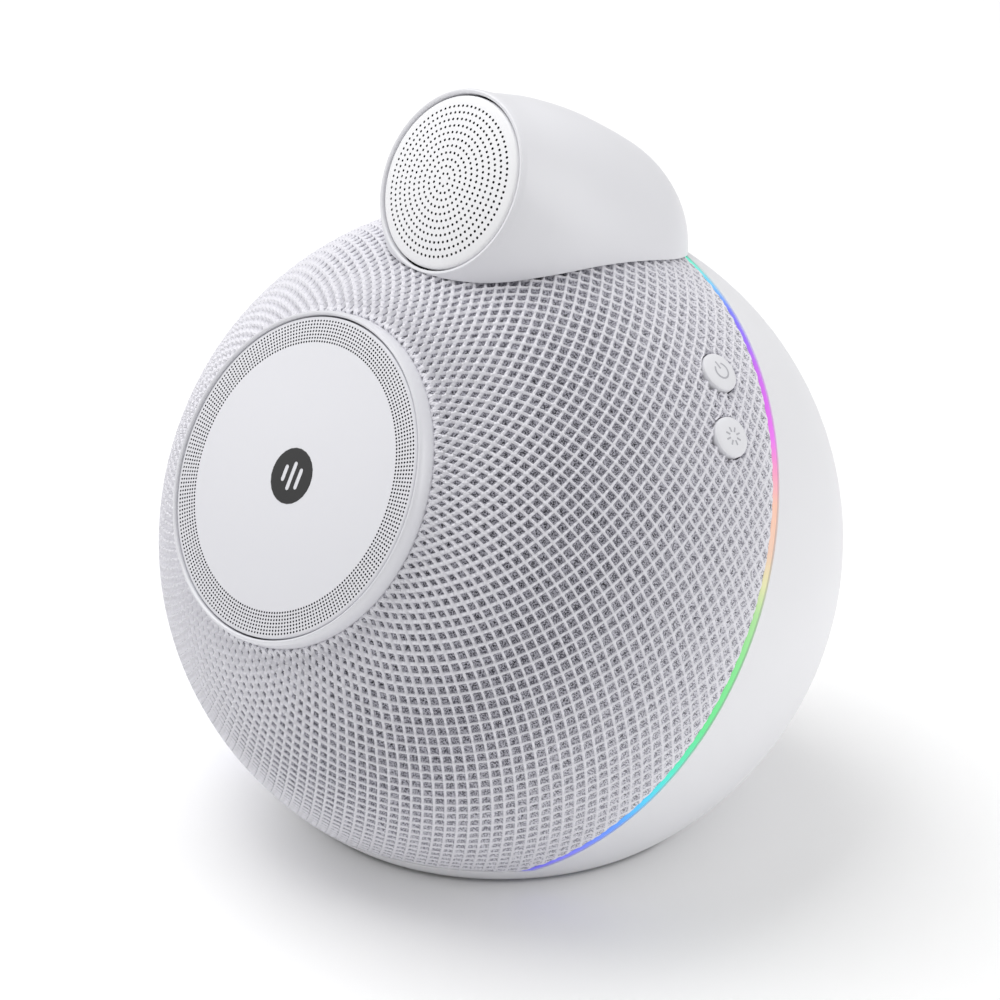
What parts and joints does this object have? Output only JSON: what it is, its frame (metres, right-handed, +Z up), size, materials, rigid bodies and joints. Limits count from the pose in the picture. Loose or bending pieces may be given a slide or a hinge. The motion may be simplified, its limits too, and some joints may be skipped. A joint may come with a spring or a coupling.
{
  "type": "smart speaker",
  "caption": "Ball-shaped desktop speaker with a knitted front, a perforated woofer cover, a light ring, side push buttons and a bullet-shaped tweeter pod on top.",
  "frame": {"origin": "centre of the foot pad's flat underside, on the surface it stands on", "axes": "+Z up, the front with its woofer cover faces -Y, +X is the side with the two buttons"},
  "size_m": [0.18, 0.1797, 0.1984],
  "materials": {
    "satin_white": "satin moulded ABS",
    "matt_white": "fine matt moulded ABS",
    "knit": "knitted polyester",
    "diffuser": "lit polycarbonate light guide",
    "button_grey": "fine matt moulded ABS",
    "black_plastic": "matt",
    "dark_frame": "matt glass-filled moulding",
    "rubber": "matt silicone",
    "paper": "pressed pulp",
    "silk": "coated cloth",
    "steel": "zinc plated",
    "zinc_steel": "zinc plated",
    "ferrite": "ground ferrite",
    "copper": "enamelled wire",
    "aluminium": "extruded",
    "circuit_board": "solder mask",
    "battery_wrap": "shrink film over cell",
    "cable_sheath": "soft PVC"
  },
  "bodies": {
    "chassis": {"woofer_bezel": "satin_white", "woofer_cover": "satin_white", "pod_housing": "satin_white", "tweeter_grille": "satin_white", "rear_shell": "matt_white", "bottom_plate": "matt_white", "fabric_cover": "knit", "light_ring": "diffuser", "badge": "black_plastic", "power_switch": "black_plastic", "light_switch": "black_plastic", "amplifier_chip": "black_plastic", "grille_frame": "dark_frame", "front_baffle": "dark_frame", "woofer_basket": "dark_frame", "tweeter_mount": "dark_frame", "tweeter_faceplate": "dark_frame", "battery_tray": "dark_frame", "foot_pad": "rubber", "woofer_gasket": "rubber", "woofer_surround": "rubber", "woofer_spider": "silk", "tweeter_surround": "silk", "usb_socket": "steel", "radio_module": "steel", "woofer_screw_1": "steel", "woofer_screw_2": "steel", "woofer_screw_3": "steel", "woofer_screw_4": "steel", "tweeter_screw_1": "steel", "tweeter_screw_2": "steel", "tweeter_screw_3": "steel", "base_screw_1": "steel", "base_screw_2": "steel", "base_screw_3": "steel", "base_screw_4": "steel", "woofer_top_plate": "zinc_steel", "woofer_yoke": "zinc_steel", "tweeter_top_plate": "zinc_steel", "tweeter_yoke": "zinc_steel", "woofer_magnet": "ferrite", "tweeter_magnet": "ferrite", "heat_sink": "aluminium", "main_board": "circuit_board", "button_board": "circuit_board", "port_board": "circuit_board", "led_strip": "circuit_board", "battery_cell_front": "battery_wrap", "battery_cell_back": "battery_wrap", "woofer_cable": "cable_sheath", "tweeter_cable": "cable_sheath"},
    "power_button": {"power_button": "button_grey"},
    "light_button": {"light_button": "button_grey"},
    "woofer_diaphragm": {"woofer_cone": "paper", "dust_cap": "paper", "coil_former": "aluminium", "woofer_voice_coil": "copper"},
    "tweeter_diaphragm": {"tweeter_dome": "silk", "tweeter_voice_coil": "copper"}
  },
  "joints": [
    {"name": "power_button_press", "type": "slide", "parent": "chassis", "child": "power_button", "axis": [-0.7, -0.184, -0.69], "range_m": [0, 0.0005], "stiffness_N_per_m": 600, "springref_m": -0.0004},
    {"name": "light_button_press", "type": "slide", "parent": "chassis", "child": "light_button", "axis": [-0.8241, -0.1096, -0.5558], "range_m": [0, 0.0005], "stiffness_N_per_m": 600, "springref_m": -0.0004},
    {"name": "woofer_stroke", "type": "slide", "parent": "chassis", "child": "woofer_diaphragm", "axis": [0, -0.8746, 0.4848], "range_m": [-0.003, 0.003], "stiffness_N_per_m": 1500, "deforming": ["woofer_surround", "woofer_spider"]},
    {"name": "tweeter_stroke", "type": "slide", "parent": "chassis", "child": "tweeter_diaphragm", "axis": [0, -0.8829, 0.4695], "range_m": [-0.0003, 0.0003], "stiffness_N_per_m": 1500, "deforming": ["tweeter_surround"]}
  ]
}
